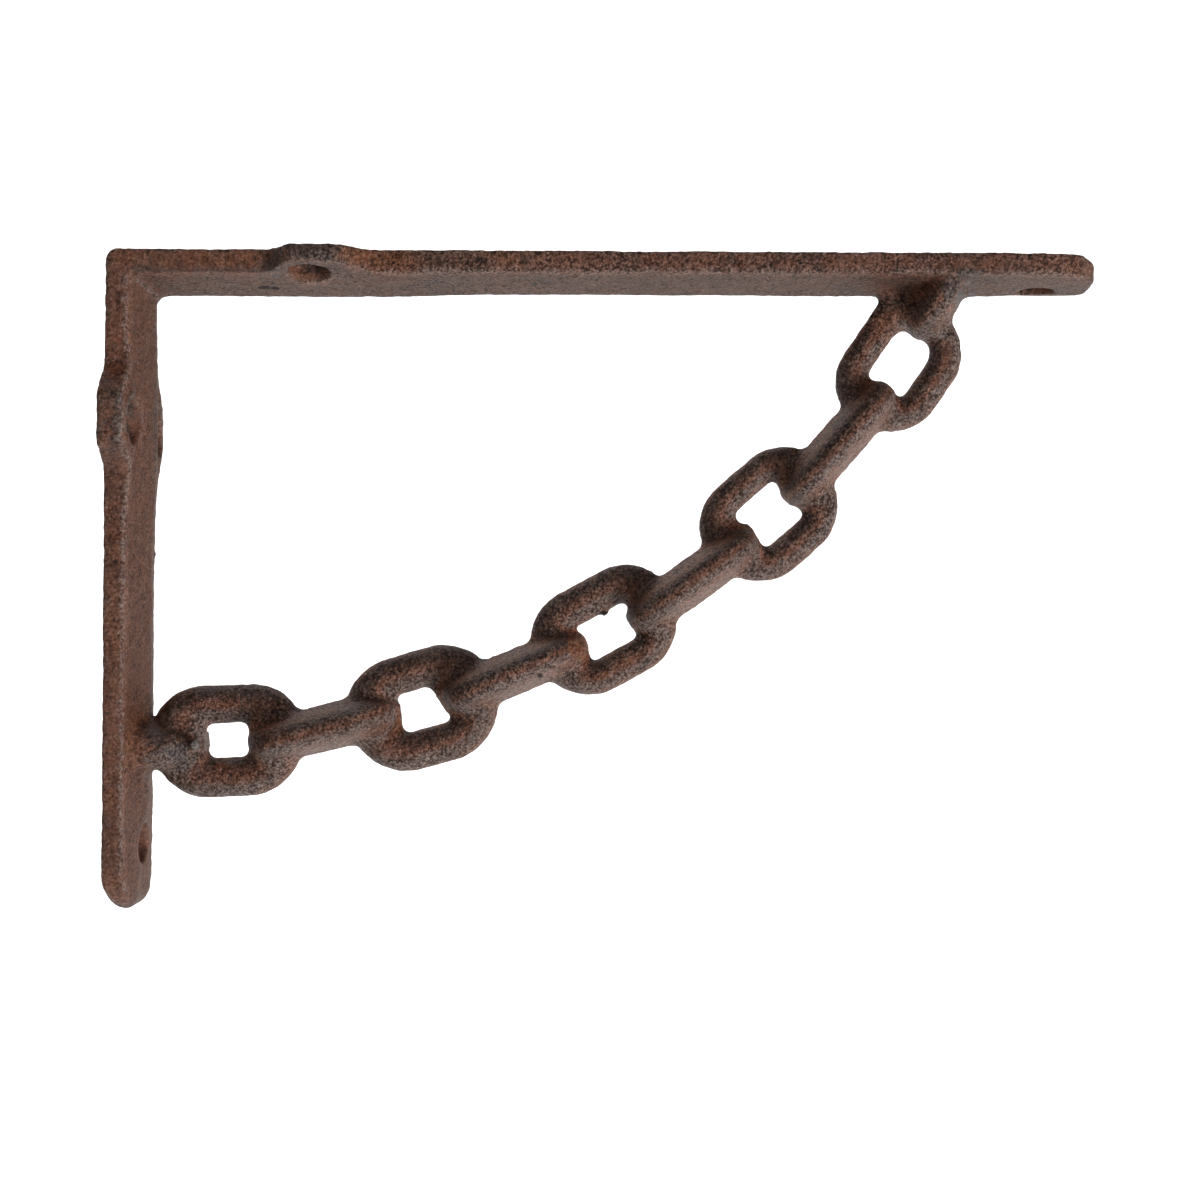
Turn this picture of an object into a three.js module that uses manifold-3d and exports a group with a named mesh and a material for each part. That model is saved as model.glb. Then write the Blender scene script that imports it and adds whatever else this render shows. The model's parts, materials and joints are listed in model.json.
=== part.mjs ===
// A cast iron shelf bracket. A shelf arm and a wall arm meet at a right angle, and a curved
// length of heavy chain, cast in one with them, braces the corner.
//
// Frame, in millimetres: +X runs out from the wall, +Z is up and Y is depth. The origin is on
// the wall face, half way down the wall arm. The casting was made in a two-part mould that
// opened along Y, so it is the same in front of and behind the parting plane, y = 0, and its
// inner faces fall away from that plane.

import * as THREE from 'three';
import { mergeVertices } from 'three/addons/utils/BufferGeometryUtils.js';
import Module from 'manifold-3d';

// Both arms
const projection = 190;
const drop = 127;
const stripWidth = 25;
const stripThickness = 6.5;
const draftSlope = 0.2;
const outerCornerRadius = 1.7;
const innerCornerRadius = 2.2;

// Arm tips: the corners seen on the flat, the edges seen from the side, and the wall arm's foot,
// which thins over its last stretch
const tipCornerRadius = 9.5;
const shelfTipOuterRadius = 1.6;
const shelfTipInnerRadius = 2.8;
const footOuterRadius = 2.4;
const footInnerRadius = 2.4;
const footThinning = 1.1;
const footThinningLength = 22;

// Screw holes: a pair in ears near the corner and one near the tip of each arm
const screwHole = 8;
const earHoleOffset = 11.6;
const earWall = 2.8;
const earTopLength = 7.5;
const earSteepFlank = 4.8;
const earGentleFlank = 8;
const shelfEarsFromWall = 38.6;
const wallEarsFromShelf = 32.8;
const shelfTipHoleInset = 11;
const wallTipHoleInset = 12.8;

// Chain links seen face on, as round bar bent into a ring with straight sides
const linkBar = 7.1;
const linkWidth = 21.8;
const linkLength = 28.8;

// Chain links seen edge on, cast as solid webs that thin towards a rounded ridge
const webLength = 30.4;
const webDepth = 21.6;
const webThickness = 9;
const webRidge = 4;
const webCornerRadius = 3.4;
const webRidgeRounding = 0.7;

// The line that the chain follows: level at its lowest point, then an arc up to the shelf arm
const linkPitch = 19.6;
const chainAboveFoot = 32.8;
const chainBackFromTip = 29;
const chainLevelFromWall = 11.7;
const firstLinkShare = 0.72;
const lastLinkShare = 0.815;

// The half links that root the chain: how far each is moved away from the wall along the chain,
// and how far the lower one hangs below the chain's line
const wallStubShift = 1;
const shelfStubShift = 1.5;
const wallStubSag = 1;

// How far a joined piece reaches into the one that it grows from
const rootOverlap = 1.2;

// Fineness of the curves
const barSides = 12;
const ringSides = 28;
const arcSegments = 5;
const holeSides = 24;
const webSteps = 12;

const shelfFaceZ = drop / 2;
const footZ = shelfFaceZ - drop;
const earReach = earHoleOffset + screwHole / 2 + earWall;

const wasm = await Module();
wasm.setup();

function toSolid(geometry) {
  geometry.deleteAttribute('normal');
  geometry.deleteAttribute('uv');
  const merged = mergeVertices(geometry, 1e-4);
  const mesh = new wasm.Mesh({
    numProp: 3,
    vertProperties: new Float32Array(merged.attributes.position.array),
    triVerts: new Uint32Array(merged.index.array),
  });
  return new wasm.Manifold(mesh);
}

function toGeometry(solid) {
  const mesh = solid.getMesh();
  const geometry = new THREE.BufferGeometry();
  geometry.setAttribute('position', new THREE.BufferAttribute(mesh.vertProperties, 3));
  geometry.setIndex(new THREE.BufferAttribute(mesh.triVerts, 1));
  geometry.computeVertexNormals();
  return geometry;
}

function joinAll(solids) {
  return solids.reduce((joined, solid) => joined.add(solid));
}

// Moves every vertex of a geometry to where the given function puts it
function reshape(geometry, move) {
  const position = geometry.attributes.position;
  const point = new THREE.Vector3();
  for (let i = 0; i < position.count; i += 1) {
    point.fromBufferAttribute(position, i);
    move(point);
    position.setXYZ(i, point.x, point.y, point.z);
  }
  return geometry;
}

// A closed polygon whose corners are rounded, each given as [x, y, radius]. A rounding is kept
// to less than half of the shorter side beside it.
function roundedPolygon(corners) {
  const shape = new THREE.Shape();
  corners.forEach(([x, y, radius], i) => {
    const before = corners[(i + corners.length - 1) % corners.length];
    const after = corners[(i + 1) % corners.length];
    const corner = new THREE.Vector2(x, y);
    const inward = new THREE.Vector2(before[0], before[1]).sub(corner);
    const onward = new THREE.Vector2(after[0], after[1]).sub(corner);
    const rounding = Math.min(radius, 0.45 * Math.min(inward.length(), onward.length()));
    const start = corner.clone().add(inward.setLength(rounding));
    const end = corner.clone().add(onward.setLength(rounding));
    if (i === 0) {
      shape.moveTo(start.x, start.y);
    } else {
      shape.lineTo(start.x, start.y);
    }
    if (radius > 0) {
      shape.quadraticCurveTo(x, y, end.x, end.y);
    }
  });
  shape.closePath();
  return shape;
}

// A shape drawn in the side view, X across and Z up, given its depth evenly about y = 0
function sideView(shape, depth, steps = 1) {
  const settings = { depth, steps, bevelEnabled: false, curveSegments: arcSegments };
  const geometry = new THREE.ExtrudeGeometry(shape, settings);
  geometry.translate(0, 0, -depth / 2);
  geometry.rotateX(Math.PI / 2);
  return geometry;
}

// An arm lies along X from its corner end, with its outer face at z = 0 and its metal above.
// Its flat outline has rounded tip corners and an ear on each long side.
function armOutline(length, earPlace, flankBefore, flankAfter) {
  const half = stripWidth / 2;
  const tipRadius = Math.min(tipCornerRadius, 0.45 * stripWidth);
  const earStart = earPlace - earTopLength / 2 - flankBefore;
  const earTop = earPlace - earTopLength / 2;
  const earTopEnd = earPlace + earTopLength / 2;
  const earEnd = earTopEnd + flankAfter;
  const riseMiddle = (earStart + earTop) / 2;
  const fallMiddle = (earTopEnd + earEnd) / 2;
  const shape = new THREE.Shape();
  shape.moveTo(0, -half);
  shape.lineTo(earStart, -half);
  shape.bezierCurveTo(riseMiddle, -half, riseMiddle, -earReach, earTop, -earReach);
  shape.lineTo(earTopEnd, -earReach);
  shape.bezierCurveTo(fallMiddle, -earReach, fallMiddle, -half, earEnd, -half);
  shape.lineTo(length - tipRadius, -half);
  shape.absarc(length - tipRadius, -half + tipRadius, tipRadius, -Math.PI / 2, 0, false);
  shape.lineTo(length, half - tipRadius);
  shape.absarc(length - tipRadius, half - tipRadius, tipRadius, 0, Math.PI / 2, false);
  shape.lineTo(earEnd, half);
  shape.bezierCurveTo(fallMiddle, half, fallMiddle, earReach, earTopEnd, earReach);
  shape.lineTo(earTop, earReach);
  shape.bezierCurveTo(riseMiddle, earReach, riseMiddle, half, earStart, half);
  shape.lineTo(0, half);
  shape.closePath();
  return shape;
}

// The arm's cross-section: flat outside, and inside a low roof whose ridge is the parting plane
function armSection(length) {
  const reach = earReach + 1;
  const edge = stripThickness - draftSlope * reach;
  const shape = new THREE.Shape();
  shape.moveTo(-reach, 0);
  shape.lineTo(reach, 0);
  shape.lineTo(reach, edge);
  shape.lineTo(0, stripThickness);
  shape.lineTo(-reach, edge);
  shape.closePath();
  const geometry = new THREE.ExtrudeGeometry(shape, { depth: length, steps: 1, bevelEnabled: false });
  const lengthwise = new THREE.Matrix4().makeBasis(
    new THREE.Vector3(0, 1, 0),
    new THREE.Vector3(0, 0, 1),
    new THREE.Vector3(1, 0, 0),
  );
  return geometry.applyMatrix4(lengthwise);
}

function armHoles(earPlace, tipPlace) {
  const places = [[earPlace, -earHoleOffset], [earPlace, earHoleOffset], [tipPlace, 0]];
  return joinAll(places.map(([x, y]) => {
    const bore = new THREE.CylinderGeometry(screwHole / 2, screwHole / 2, 4 * stripThickness, holeSides);
    bore.rotateX(Math.PI / 2);
    bore.translate(x, y, 0);
    return toSolid(bore);
  }));
}

function makeArm(length, earPlace, flankBefore, flankAfter, tipHoleInset, turn) {
  const outline = armOutline(length, earPlace, flankBefore, flankAfter);
  const settings = { depth: stripThickness, bevelEnabled: false, curveSegments: arcSegments };
  const plate = toSolid(new THREE.ExtrudeGeometry(outline, settings));
  const place = turn.clone().setPosition(0, 0, shelfFaceZ).elements;
  return {
    blank: plate.intersect(toSolid(armSection(length))).transform(place),
    holes: armHoles(earPlace, length - tipHoleInset).transform(place),
  };
}

// Side outline that rounds the outer corner and the edges of both tips
function elbowOutline() {
  const inside = stripThickness + rootOverlap;
  return roundedPolygon([
    [0, shelfFaceZ, outerCornerRadius],
    [0, footZ, footOuterRadius],
    [stripThickness - footThinning, footZ, footInnerRadius],
    [stripThickness, footZ + footThinningLength, 0],
    [stripThickness, shelfFaceZ - inside, 0],
    [inside, shelfFaceZ - stripThickness, 0],
    [projection, shelfFaceZ - stripThickness, shelfTipInnerRadius],
    [projection, shelfFaceZ, shelfTipOuterRadius],
  ]);
}

// The hollow round in the inner corner, which follows the inner faces as they fall away
function cornerFillet() {
  const corner = stripThickness;
  const start = corner - rootOverlap;
  const end = corner + innerCornerRadius;
  const shape = new THREE.Shape();
  shape.moveTo(start, shelfFaceZ - start);
  shape.lineTo(start, shelfFaceZ - end);
  shape.lineTo(corner, shelfFaceZ - end);
  shape.absarc(end, shelfFaceZ - end, innerCornerRadius, Math.PI, Math.PI / 2, true);
  shape.lineTo(end, shelfFaceZ - start);
  shape.closePath();
  return reshape(sideView(shape, stripWidth, 2), (point) => {
    const fall = draftSlope * Math.abs(point.y);
    point.x -= fall;
    point.z += fall;
  });
}

// The chain's line, as the place and the slope at an angle around the arc
const chainLevelZ = footZ + chainAboveFoot;
const chainRun = projection - chainBackFromTip - chainLevelFromWall;
const chainRise = shelfFaceZ - stripThickness - chainLevelZ;
const chainRadius = (chainRun * chainRun + chainRise * chainRise) / (2 * chainRise);
const chainStartAngle = Math.asin((stripThickness - chainLevelFromWall) / chainRadius);
const chainEndAngle = Math.asin(chainRun / chainRadius);
const chainLength = (chainEndAngle - chainStartAngle) * chainRadius;
const endShares = firstLinkShare + lastLinkShare;
const faceOnLinks = Math.max(1, Math.round((chainLength / linkPitch - endShares) / 2 + 1));
const wholeLinks = 2 * faceOnLinks - 1;
const pitchAngle = (chainEndAngle - chainStartAngle) / (wholeLinks - 1 + endShares);

// Puts a link in its place along the chain, moved by a distance along the line and one down
function onChain(geometry, index, shift, sag) {
  const angle = chainStartAngle + pitchAngle * (firstLinkShare + index - 1) + shift / chainRadius;
  const x = chainLevelFromWall + chainRadius * Math.sin(angle);
  const z = chainLevelZ + chainRadius * (1 - Math.cos(angle));
  return geometry.rotateY(-angle).translate(x, 0, z - sag);
}

function faceOnLink() {
  const ringRadius = (linkWidth - linkBar) / 2;
  const halfStraight = (linkLength - linkWidth) / 2;
  const ring = new THREE.TorusGeometry(ringRadius, linkBar / 2, barSides, ringSides);
  ring.rotateX(Math.PI / 2);
  const middle = 0.05 * ringRadius;
  return reshape(ring, (point) => {
    point.x += halfStraight * THREE.MathUtils.clamp(point.x / middle, -1, 1);
  });
}

// An edge-on link starts as a rounded bar and takes its round ends and its ridges from where
// each step of the bar lies between the back and the front
function edgeOnWeb() {
  const halfLength = webLength / 2;
  const halfThickness = webThickness / 2;
  const halfDepth = webDepth / 2;
  const section = roundedPolygon([
    [-halfLength, -halfThickness, webCornerRadius],
    [halfLength, -halfThickness, webCornerRadius],
    [halfLength, halfThickness, webCornerRadius],
    [-halfLength, halfThickness, webCornerRadius],
  ]);
  return reshape(sideView(section, webDepth, webSteps), (point) => {
    const turn = (point.y / halfDepth) * (Math.PI / 2);
    const share = Math.abs(Math.sin(turn));
    const roundEnd = (halfLength - halfDepth * (1 - Math.cos(turn))) / halfLength;
    const taper = 1 - share * (1 - webRidge / webThickness);
    const ridge = Math.sqrt(1 - webRidgeRounding * share ** 8);
    point.x *= roundEnd;
    point.y = halfDepth * Math.sin(turn);
    point.z *= taper * ridge;
  });
}

// The room that the chain may fill: from just inside one arm to just inside the other
function chainRoom() {
  const start = stripThickness - draftSlope * (webDepth / 2) - rootOverlap;
  const bottom = footZ - linkWidth;
  const shape = roundedPolygon([
    [start, shelfFaceZ - start, 0],
    [start, bottom, 0],
    [projection, bottom, 0],
    [projection, shelfFaceZ - start, 0],
  ]);
  return sideView(shape, 2 * Math.max(webDepth, stripWidth));
}

function makeChain() {
  const parts = [
    toSolid(onChain(edgeOnWeb(), 0, wallStubShift, wallStubSag)),
    toSolid(onChain(edgeOnWeb(), wholeLinks + 1, shelfStubShift, 0)),
  ];
  for (let index = 1; index <= wholeLinks; index += 1) {
    const shape = index % 2 === 1 ? faceOnLink() : edgeOnWeb();
    parts.push(toSolid(onChain(shape, index, 0, 0)));
  }
  return joinAll(parts).intersect(toSolid(chainRoom()));
}

function makeArms() {
  const outFromWall = new THREE.Matrix4().makeRotationX(Math.PI);
  const downTheWall = new THREE.Matrix4().makeRotationY(Math.PI / 2);
  const shelf = makeArm(
    projection, shelfEarsFromWall, earSteepFlank, earGentleFlank, shelfTipHoleInset, outFromWall,
  );
  const wall = makeArm(
    drop, wallEarsFromShelf, earGentleFlank, earSteepFlank, wallTipHoleInset, downTheWall,
  );
  const depth = 2 * (earReach + stripWidth);
  const elbow = toSolid(sideView(elbowOutline(), depth));
  const blank = shelf.blank.add(wall.blank).intersect(elbow).add(toSolid(cornerFillet()));
  return { blank, holes: shelf.holes.add(wall.holes) };
}

const arms = makeArms();
const casting = arms.blank.add(makeChain()).subtract(arms.holes);

const castIron = new THREE.MeshStandardMaterial({ color: 0x5c4036, roughness: 0.78, metalness: 0.35 });
castIron.name = 'rusted_cast_iron';

const bracketMesh = new THREE.Mesh(toGeometry(casting), castIron);
bracketMesh.name = 'chain_bracket';

const bracket = new THREE.Group();
bracket.add(bracketMesh);

export default bracket;
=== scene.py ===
"""The looks of a cast iron shelf bracket braced by a length of chain, built round its solid.

Everything is in metres, in the solid's own frame: +X out from the wall, +Z up, and Y across
the arms with the parting plane of the mould at y = 0.
"""

import json
import math
import random

import bmesh
import bpy
from bpy.props import FloatProperty, FloatVectorProperty, IntProperty, PointerProperty
from mathutils import Matrix, Vector, noise

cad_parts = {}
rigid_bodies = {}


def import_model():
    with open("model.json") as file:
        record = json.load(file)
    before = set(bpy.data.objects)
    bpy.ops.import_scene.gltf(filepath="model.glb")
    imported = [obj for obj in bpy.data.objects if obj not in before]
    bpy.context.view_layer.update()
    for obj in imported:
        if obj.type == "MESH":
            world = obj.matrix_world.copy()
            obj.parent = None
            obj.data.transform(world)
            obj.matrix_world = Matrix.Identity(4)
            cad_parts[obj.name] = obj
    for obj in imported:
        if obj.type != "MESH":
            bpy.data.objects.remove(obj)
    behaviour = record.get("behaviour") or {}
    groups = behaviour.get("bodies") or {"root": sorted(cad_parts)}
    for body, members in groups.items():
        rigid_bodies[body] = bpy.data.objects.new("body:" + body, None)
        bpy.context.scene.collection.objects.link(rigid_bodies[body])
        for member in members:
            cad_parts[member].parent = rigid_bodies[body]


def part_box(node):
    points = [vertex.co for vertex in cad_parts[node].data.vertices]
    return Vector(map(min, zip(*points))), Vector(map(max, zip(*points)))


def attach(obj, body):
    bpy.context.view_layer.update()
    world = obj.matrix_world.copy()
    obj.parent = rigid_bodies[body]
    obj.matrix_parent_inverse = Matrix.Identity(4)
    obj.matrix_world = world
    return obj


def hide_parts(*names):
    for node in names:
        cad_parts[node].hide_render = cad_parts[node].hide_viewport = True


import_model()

bl_info = {
    "name": "Chain Shelf Bracket",
    "version": (1, 0, 0),
    "blender": (4, 5, 0),
    "location": "View3D > Sidebar > Bracket",
    "description": "Builds a cast iron shelf bracket braced by a length of chain",
    "category": "Object",
}

MM = 0.001
NODE = "chain_bracket"
SLOT = "rusted_cast_iron"
LOW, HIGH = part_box(NODE)
PROJECTION = HIGH.x
DROP = HIGH.z - LOW.z


def length(label, note, millimetres):
    return FloatProperty(name=label, description=note, default=millimetres * MM, unit="LENGTH")


def share(label, note, value):
    return FloatProperty(name=label, description=note, default=value, min=0.0)


def count(label, note, value):
    return IntProperty(name=label, description=note, default=value, min=0)


def colour(label, note, value):
    return FloatVectorProperty(
        name=label, description=note, default=value, subtype="COLOR", size=3, min=0.0, max=1.0
    )


class ArmSizes(bpy.types.PropertyGroup):
    """The two arms, their screw ears and their holes"""

    strip_width: length("Strip width", "Front to back, both arms", 25)
    thickness: length("Thickness", "At the parting plane", 6.5)
    draft: share("Draft", "Fall of the inner faces for each unit from the parting plane", 0.2)
    edge_round: length("Edge round", "Rounding of the cast edges", 0.7)
    corner_round: length("Corner round", "Outer corner where the arms meet", 1.7)
    inner_round: length("Inner round", "Hollow round in the inner corner", 2.4)
    tip_round: length("Tip round", "Corners of the tips, seen on the flat", 9.5)
    foot_thinning: length("Foot thinning", "Metal lost at the foot of the wall arm", 1.1)
    foot_thinning_run: length("Foot thinning run", "Stretch over which the foot thins", 22)
    hole: length("Screw hole", "Diameter of each screw hole", 8)
    hole_flare: share("Hole flare", "How fast the holes widen inwards from the outer face", 0.0)
    dish_flare: share("Dish flare", "The same for the ear holes of the wall arm", 0.2)
    ear_hole_offset: length("Ear hole offset", "Ear hole from the parting plane", 11.6)
    ear_wall: length("Ear wall", "Metal left outside an ear's hole", 2.8)
    ear_top: length("Ear top", "Straight stretch of an ear", 6.8)
    ear_steep: length("Steep flank", "The shorter flank of an ear", 6.2)
    ear_gentle: length("Gentle flank", "The longer flank of an ear", 8.8)
    ear_shift: length("Ear shift", "Shelf ears out from their holes", 1.3)
    shelf_ears: length("Shelf ears", "Ears of the shelf arm from the wall", 38.6)
    wall_ears: length("Wall ears", "Ears of the wall arm below the shelf", 32.8)
    shelf_tip_hole: length("Shelf tip hole", "From the tip of the shelf arm", 11)
    wall_tip_hole: length("Wall tip hole", "From the foot of the wall arm", 12.8)


class ChainSizes(bpy.types.PropertyGroup):
    """The links and the curve that they follow"""

    bar: length("Bar", "Diameter of a link's bar", 7.1)
    link_width: length("Link width", "Outside width of a link seen face on", 21.8)
    link_length: length("Link length", "Outside length of a link seen face on", 28.8)
    unevenness: share("Unevenness", "How far the links differ from each other", 1)
    web_length: length("Web length", "Length of a link seen edge on", 30.4)
    web_depth: length("Web depth", "Front to back of a link seen edge on", 21.6)
    web_thickness: length("Web thickness", "At the parting plane", 9)
    web_ridge: length("Web ridge", "Thickness near the front and back ridges", 4.4)
    keystone: share("Keystone", "How much longer a link is along its upper side", 0.055)
    above_foot: length("Chain above foot", "Lowest point of the chain's line", 32.8)
    back_from_tip: length("Chain back from tip", "Where the line meets the shelf arm", 29)
    level_from_wall: length("Level point", "Where the line lies level, from the wall", 11.7)
    pitch: length("Link pitch", "Spacing of the links along the line", 19.6)
    first_share: share("First share", "Wall arm to the first link, in pitches", 0.72)
    last_share: share("Last share", "Last link to the shelf arm, in pitches", 0.815)
    wall_stub_shift: length("Wall stub shift", "Lower half link, moved out from the wall", 1)
    shelf_stub_shift: length("Shelf stub shift", "Upper half link, moved up the line", 1.5)
    wall_stub_sag: length("Wall stub sag", "Lower half link, hung below the line", 1)
    wall_stub_blunt: length("Wall stub blunt", "Extra thickness at its ridge", 2.8)
    wall_stub_low: length("Wall stub low", "How much lower its ridge is", 1.8)


class CastingSizes(bpy.types.PropertyGroup):
    """What sand, wear and rust do to the surface"""

    skin_step: length("Skin step", "Spacing of the cast skin's points", 0.42)
    softening: length("Softening", "How far every edge is softened", 0.2)
    inner_fillet: length("Inner fillet", "Fill of the hollows near the parting plane", 1.7)
    outer_fillet: length("Outer fillet", "Fill of the hollows away from it", 0.75)
    shelf_tip_top: length("Shelf tip top", "Upper rounding of the shelf tip, side on", 1.8)
    shelf_tip_under: length("Shelf tip under", "Lower rounding of the shelf tip", 2.0)
    foot_back: length("Foot back", "Rounding of the foot against the wall, side on", 3.2)
    foot_front: length("Foot front", "Rounding of the foot on its other side", 2.8)
    arm_gain: length("Arm gain", "Extra metal on the arms near the corner", 0.6)
    wall_ear_gain: length("Wall ear gain", "Extra metal on the ears of the wall arm", 4.0)
    shelf_tip_loss: length("Shelf tip loss", "Metal lost towards the shelf tip", 0.5)
    foot_loss: length("Foot loss", "Metal lost towards the foot", 0.8)
    tip_softening: length("Tip softening", "How far the two tips are softened", 0.5)
    shelf_tip_short: length("Shelf tip short", "How far the shelf tip falls short", 0.35)
    foot_short: length("Foot short", "How far the foot falls short", 0.6)
    triangles: count("Triangles", "Most triangles in the finished mesh", 188000)
    wave: length("Wave", "Slow unevenness of the casting", 0.12)
    lump: length("Lump", "Height of the sand lumps", 0.13)
    grain: length("Grain", "Height of the sand grain", 0.09)
    nodules: count("Nodules", "Beads of metal left by holes in the sand", 60)
    seed: count("Seed", "Start of the random draws", 11)


class FinishColours(bpy.types.PropertyGroup):
    """Colours of the rusted and rubbed iron, and of the painted light and shade laid on it"""

    rust: colour("Rust", "Brown rust over most of the casting", (0.222, 0.098, 0.060))
    umber: colour("Umber", "Darker brown in broad patches", (0.140, 0.066, 0.045))
    slate: colour("Slate", "Dark scale on the rough places", (0.050, 0.041, 0.040))
    # Rubbed grey-brown also stands for painted light from below on what faces down.
    rubbed: colour("Rubbed", "High spots rubbed to grey-brown", (0.175, 0.122, 0.101))
    orange: colour("Orange", "Fresh rust in patches and hollows", (0.225, 0.080, 0.036))
    # The darkest colour stands for dirt and for painted shade in the pits and deep hollows.
    shade: colour("Shade", "Dirt deep in the hollows", (0.018, 0.008, 0.006))
    # Painted sheen: a blue-grey highlight laid on the lower sides of the chain, where the key light
    # falls, not a colour of the iron.
    painted_sheen: colour("Sheen", "Blue-grey sheen low on the chain", (0.150, 0.142, 0.142))
    # Pale burrs, and the painted highlights on the mitre line and on one nub.
    pale_burr_and_highlight: colour("Bare", "Pale burrs and nubs", (0.300, 0.270, 0.250))


class StageSizes(bpy.types.PropertyGroup):
    """The camera, the floor and the lamps"""

    camera_out: length("Camera out", "Camera from the wall face", 94.7)
    camera_up: length("Camera up", "Camera above the middle of the wall arm", -5.8)
    camera_away: length("Camera away", "Camera from the parting plane", 373.1)
    camera_lift: share("Camera lift", "Upward tilt of the camera, in degrees", 0.481)
    camera_turn: share("Camera turn", "Turn of the camera to the left, in degrees", 0.083)
    camera_roll: share("Camera roll", "Roll of the camera, in degrees", 0.3)
    lens: FloatProperty(name="Lens", description="Focal length in millimetres", default=57.2)
    floor_below: length("Floor below", "Floor below the foot of the bracket", 900)
    floor_radius: length("Floor radius", "Flat part of the floor", 1300)
    sweep_height: length("Sweep height", "Height of the rounded edge of the floor", 2500)
    floor_colour: colour("Floor colour", "Pale floor and backdrop", (0.86, 0.86, 0.86))


# How each link differs from the pattern, in millimetres: moved along the line, moved up from
# it, longer, wider, thicker, and its hole moved up. The half links at the ends are 0 and 10.
LINK_FORMS = {
    0: (-0.8, 0, 0, 0, 0, 0),
    1: (1.0, -0.15, 1.3, 0.3, 0.7, 0.1),
    2: (0.4, 0.3, 0, 0, 0.35, 0),
    3: (0.5, -0.25, 1.5, 1.0, 0.5, 0),
    4: (0.3, 0.6, 0, 0, 0, 0),
    5: (0.15, 0.2, 1.1, -0.1, 0.05, -0.45),
    6: (0.3, -0.7, 0, 0, -0.1, 0),
    7: (0.4, -0.25, 0.1, 0.3, -0.65, 0.3),
    8: (0, 0, 0, 0, -0.15, 0),
    9: (-0.1, 0, -1.2, -1.0, -0.8, 0.15),
    10: (0.5, 0.8, 0, 0, 0, 0),
}

# How far a link's far end is turned up from the line, in degrees.
LINK_TILTS = {2: 4.5, 7: -1.0}

# Metal that ran between the halves of the mould and fills the ends of the links: which link,
# where along and up from its middle, half length, half height and thickness, all in
# millimetres, then the tilt in degrees and how ragged its edge is.
FLASH = (
    (1, -9.1, 0.0, 5.0, 4.8, 6.6, 0, 0.03),
    (1, 7.2, 0.0, 3.2, 4.6, 3.2, 0, 0.03),
    (3, -7.9, -0.2, 3.5, 4.8, 3.4, 10, 0.04),
    (3, 7.0, 0.6, 3.5, 4.8, 3.2, -20, 0.04),
    (5, -8.2, -0.4, 3.5, 4.2, 3.0, 8, 0.1),
    (7, -8.5, -0.2, 3.7, 4.8, 3.0, 12, 0.14),
    (7, 8.4, 0.4, 3.7, 4.8, 3.0, 0, 0.14),
    (9, -8.5, 0.0, 3.5, 4.4, 3.0, 0, 0.05),
    (9, 7.4, 7.5, 4.6, 3.0, 5.0, 0, 0.03),
)

# Small lumps of metal: x, y, z and radius in millimetres.
NUBS = (
    (94.9, 0.0, -4.85, 1.05),
    (16.2, -5.7, -31.0, 1.2),
    (35.2, -16.8, 62.2, 0.7),
    (41.5, -18.0, 62.4, 0.6),
)

# Stains on the front of the casting: x, z, half width and half height in millimetres, then
# how strongly fresh rust shows there, or dark scale where that is below nought. Two of the dark
# ones are painted shadow in the crease where the upper half link meets the shelf arm.
STAINS_AND_SHADOWS = (
    (52.5, 60.5, 7.0, 3.5, 1.0),
    (27.0, 61.0, 5.0, 3.0, 0.6),
    (16.0, 61.0, 5.0, 3.0, 0.5),
    (40.0, 62.5, 5.5, 2.5, -0.9),
    (31.5, 61.0, 2.6, 3.0, -0.9),
    (2.0, 39.8, 3.5, 1.8, 1.0),
    (2.0, 31.0, 3.0, 7.0, -0.55),
    # Dark scale and painted shade in the crease where the upper half link meets the shelf arm.
    (163.5, 57.0, 4.0, 3.2, -1.0),
    (12.0, -31.5, 6.0, 3.4, -0.75),
    (149.0, 50.5, 3.5, 3.5, 0.7),
    (90.3, -10.9, 2.3, 3.3, 1.4),
    (98.5, -14.0, 5.0, 2.6, 0.55),
    (20.4, -31.0, 2.2, 4.5, 1.0),
    (31.8, -28.1, 3.5, 3.0, 0.6),
    (18.0, 57.5, 12.0, 2.2, 0.5),
    (24.0, -37.0, 7.0, 2.5, 0.65),
    (145.7, 40.7, 3.0, 5.0, 0.4),
    # Painted shadow in the crease between the upper half link and the shelf arm.
    (152.5, 56.5, 3.0, 2.5, -0.8),
)

# Pits painted dark with dirt and painted shade, and the painted highlight on the lit end of one
# nub: centre and half size in millimetres.
PITS = (
    ((28.9, -4.6, 57.4), (1.2, 0.9, 2.5)),
    ((30.9, -4.2, 57.4), (0.9, 0.8, 2.5)),
    ((82.8, -8.0, -17.2), (0.6, 4.0, 0.6)),
    ((94.9, 0.0, -5.4), (1.2, 2.0, 0.9)),
)
NUB_HIGHLIGHT = ((16.6, -7.0, -31.0), (0.7, 2.5, 1.7))

# How the thickness changes along the arms, in metres from the corner: where the fuller part has
# ended and where it is still whole, then where the thinner part begins and where it is whole.
SHELF_FULL, SHELF_THIN = (0.078, 0.045), (0.155, 0.185)
WALL_FULL, WALL_THIN = (0.062, 0.040), (0.092, 0.118)

# Where the wall arm is fullest, and how far that spreads.
WALL_BULGE = (0.032, 0.012)

# Extra metal of a wall ear: where it begins and is whole, from the parting plane, how far it
# spreads along the arm, and its share on the back ear.
EAR_SLOPE, EAR_SPREAD, BACK_EAR = (9.5 * MM, 13 * MM), 9 * MM, 0.55

# Stretch over which a tip is drawn in, and the middle of its rounding as a share of the
# thickness from the outer face.
TIP_RUN, TIP_MIDDLE = 20 * MM, 0.42

# What the surface is marked with, for the finish to read.
MARKS = ("near_hollow", "far_hollow", "front", "under", "chain", "lean", "hole", "burr", "stain",
         "fine_sand")

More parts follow.
